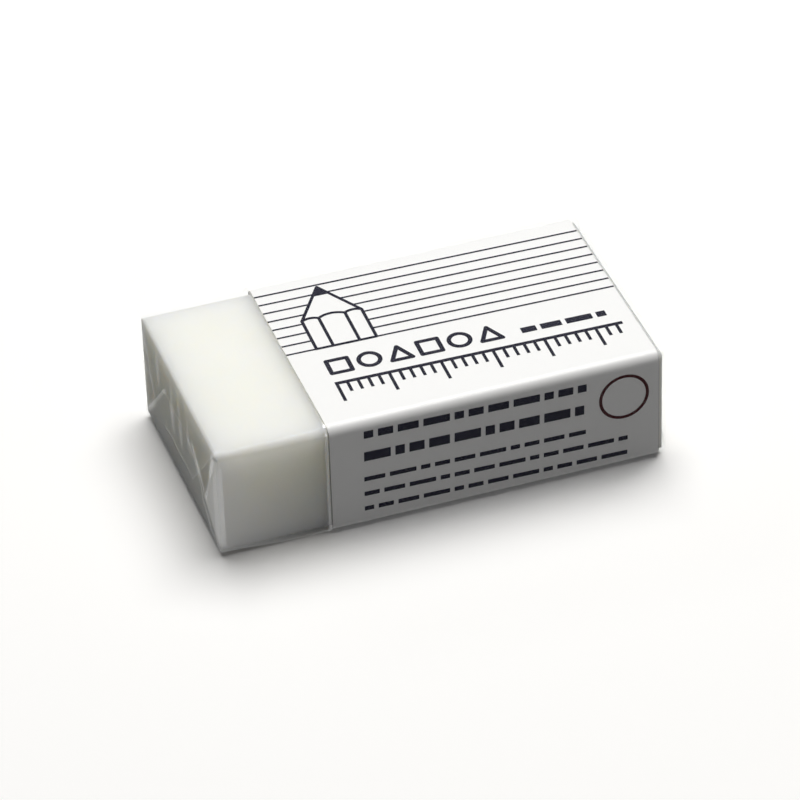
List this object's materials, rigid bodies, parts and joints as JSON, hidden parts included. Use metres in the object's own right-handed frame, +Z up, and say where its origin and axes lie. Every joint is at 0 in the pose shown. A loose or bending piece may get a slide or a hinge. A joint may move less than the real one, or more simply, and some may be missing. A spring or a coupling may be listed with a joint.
{
  "type": "eraser",
  "caption": "White vinyl block eraser in a printed card sleeve, one end bare, sealed in clear film with folded ends.",
  "frame": {"origin": "centre of the rectangle that the wrapped eraser lies on", "axes": "+X along the length, from the bare end towards the sleeved end; -Y towards the front with the ring; +Z up through the ruled top"},
  "size_m": [0.0434, 0.0244, 0.0119],
  "materials": {
    "vinyl": "soft matt white vinyl",
    "card": "white coated card, satin",
    "dark_ink": "printed ink on card, satin",
    "red_ink": "printed ink on card, satin",
    "clear_film": "thin clear plastic film, glossy, creased at the ends"
  },
  "bodies": {
    "root": {"eraser_block": "vinyl", "card_sleeve": "card", "sleeve_print": "dark_ink", "sleeve_ring": "red_ink", "film_wrap": "clear_film"}
  },
  "joints": []
}
